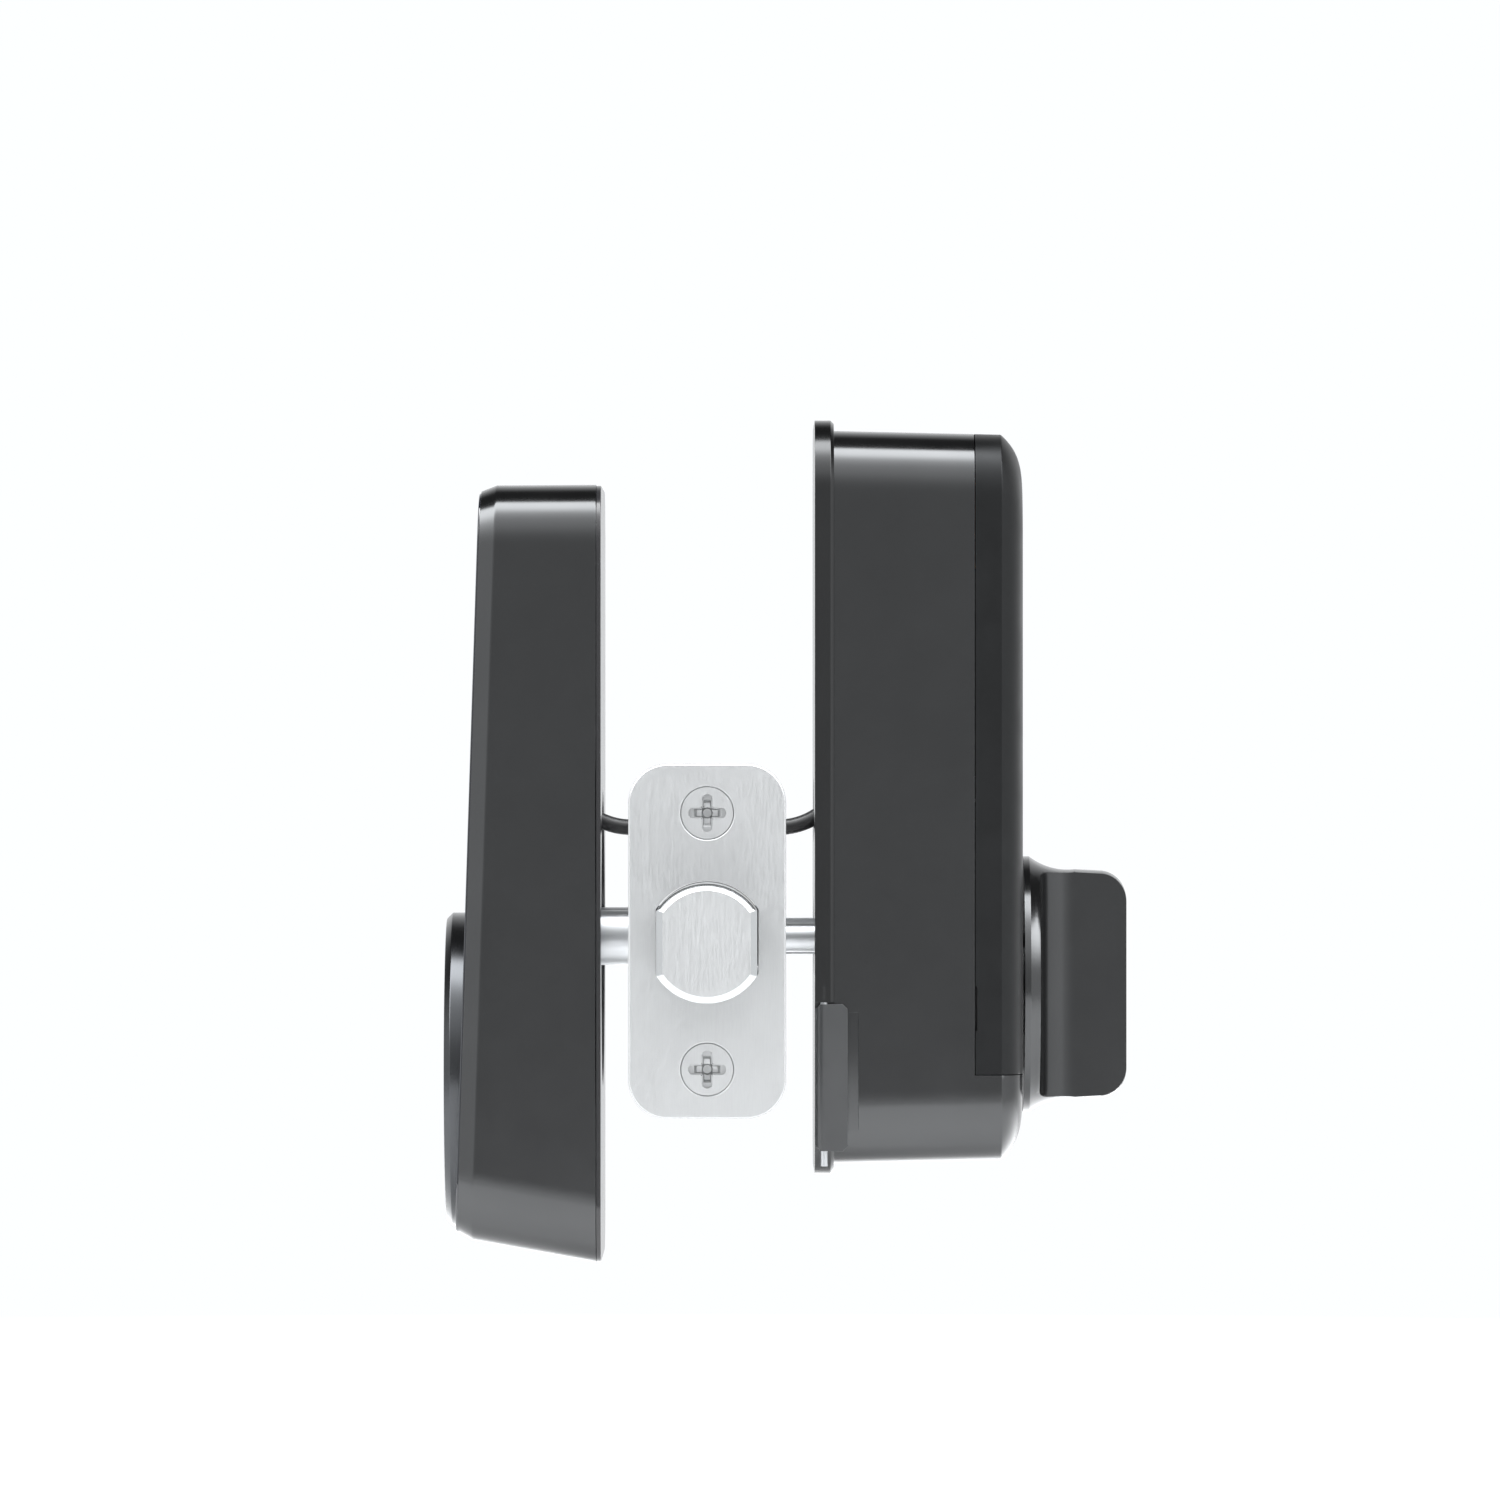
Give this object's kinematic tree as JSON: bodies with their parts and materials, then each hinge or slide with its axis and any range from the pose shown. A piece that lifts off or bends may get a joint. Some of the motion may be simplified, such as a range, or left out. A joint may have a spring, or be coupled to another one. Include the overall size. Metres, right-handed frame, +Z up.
{
  "type": "keypad smart deadbolt lock",
  "caption": "Keyless deadbolt for a hinged door: a touch keypad unit with a fingerprint disc outside, a thumbturn and battery unit inside, and a latch bolt between them.",
  "frame": {"origin": "where the drive spindle crosses the mid-plane of the door", "axes": "+Z up; +X through the door from outside to the room; -Y towards the door's free edge, the way the bolt is thrown"},
  "size_m": [0.1125, 0.1241, 0.1379],
  "materials": {
    "dark_metal": "satin",
    "bezel_metal": "satin",
    "black_glass": "gloss",
    "legend_white": "matte",
    "light_ring": "frosted",
    "sensor_black": "gloss",
    "satin_nickel": "satin",
    "steel": "brushed",
    "zinc": "matte",
    "rubber_black": "matte",
    "board_green": "semi-gloss",
    "cover_plastic": "satin",
    "plate_metal": "satin",
    "latch_plastic": "satin",
    "tray_plastic": "matte",
    "nylon": "matte",
    "connector_white": "matte",
    "brass": "satin",
    "cell": "gloss",
    "cord_black": "satin",
    "button_grey": "matte"
  },
  "bodies": {
    "lock_body": {"latch_faceplate": "satin_nickel", "latch_backing_plate": "zinc", "faceplate_screws": "satin_nickel", "latch_case": "zinc", "through_bolts": "steel", "mounting_posts": "steel", "harness": "cord_black", "exterior_gasket": "rubber_black", "exterior_back_plate": "zinc", "exterior_plate_screws": "steel", "exterior_housing": "dark_metal", "keypad_panel": "black_glass", "keypad_legends": "legend_white", "touch_sensor_board": "board_green", "sensor_bezel": "bezel_metal", "sensor_light_ring": "light_ring", "fingerprint_sensor": "sensor_black", "exterior_circuit_board": "board_green", "exterior_board_posts": "nylon", "exterior_board_screws": "steel", "exterior_connector": "connector_white", "power_port": "steel", "interior_mounting_plate": "plate_metal", "release_latch_pins": "steel", "interior_housing": "dark_metal", "battery_tray": "tray_plastic", "batteries": "cell", "battery_contacts": "steel", "interior_circuit_board": "board_green", "interior_connector": "connector_white", "interior_board_posts": "nylon", "interior_board_screws": "steel", "gearbox_cover": "tray_plastic", "gearbox_rear_plate": "zinc", "gearbox_screws": "steel", "gear_axles": "steel", "motor": "steel", "setup_switch": "sensor_black"},
    "thumbturn_body": {"thumbturn": "dark_metal", "thumbturn_gear": "brass", "thumbturn_clip": "steel"},
    "idler_body": {"idler_gear": "nylon"},
    "spindle_body": {"spindle": "steel", "spindle_gear": "brass", "latch_hub": "zinc"},
    "step_gear_body": {"step_gear": "nylon"},
    "motor_pinion_body": {"motor_pinion": "brass"},
    "deadbolt_body": {"deadbolt": "satin_nickel", "bolt_tail": "zinc", "tail_pin": "steel"},
    "battery_cover_body": {"battery_cover": "cover_plastic"},
    "release_latch_near_body": {"release_latch_near": "latch_plastic"},
    "release_latch_far_body": {"release_latch_far": "latch_plastic"},
    "setup_button_body": {"setup_button": "button_grey"}
  },
  "joints": [
    {"name": "thumbturn_turn", "type": "hinge", "parent": "lock_body", "child": "thumbturn_body", "pos_m": [0.055, 0, -0.008], "axis": [1, 0, 0], "range_deg": [0, 90]},
    {"name": "idler_turn", "type": "hinge", "parent": "lock_body", "child": "idler_body", "pos_m": [0.03, 0.0196, -0.004], "axis": [1, 0, 0], "range_deg": [-135, 0]},
    {"name": "spindle_turn", "type": "hinge", "parent": "lock_body", "child": "spindle_body", "pos_m": [0, 0, 0], "axis": [1, 0, 0], "range_deg": [0, 90]},
    {"name": "step_gear_turn", "type": "hinge", "parent": "lock_body", "child": "step_gear_body", "pos_m": [0.03, -0.01613, -0.008], "axis": [1, 0, 0], "range_deg": [-180, 0]},
    {"name": "motor_turn", "type": "hinge", "parent": "lock_body", "child": "motor_pinion_body", "pos_m": [0.03, -0.02206, -0.02199], "axis": [1, 0, 0], "range_deg": [0, 504]},
    {"name": "deadbolt_throw", "type": "slide", "parent": "lock_body", "child": "deadbolt_body", "axis": [0, 1, 0], "range_m": [0, 0.0254]},
    {"name": "battery_cover_slide", "type": "slide", "parent": "lock_body", "child": "battery_cover_body", "axis": [0, 0, 1], "range_m": [0, 0.024]},
    {"name": "release_latch_near_open", "type": "hinge", "parent": "lock_body", "child": "release_latch_near_body", "pos_m": [0.01895, -0.037, -0.02255], "axis": [0, 0, 1], "range_deg": [-25, 0]},
    {"name": "release_latch_far_open", "type": "hinge", "parent": "lock_body", "child": "release_latch_far_body", "pos_m": [0.01895, 0.037, -0.02255], "axis": [0, 0, 1], "range_deg": [0, 25]},
    {"name": "setup_button_press", "type": "slide", "parent": "lock_body", "child": "setup_button_body", "axis": [-1, 0, 0], "range_m": [0, 0.0008], "stiffness_N_per_m": 400, "springref_m": -0.0004}
  ],
  "couplings": [
    {"joint": "idler_turn", "follows": "thumbturn_turn", "ratio": -1.5},
    {"joint": "spindle_turn", "follows": "thumbturn_turn", "ratio": 1},
    {"joint": "step_gear_turn", "follows": "thumbturn_turn", "ratio": -2},
    {"joint": "motor_turn", "follows": "thumbturn_turn", "ratio": 5.6},
    {"joint": "deadbolt_throw", "follows": "thumbturn_turn", "m_per_rad": 0.01617}
  ]
}
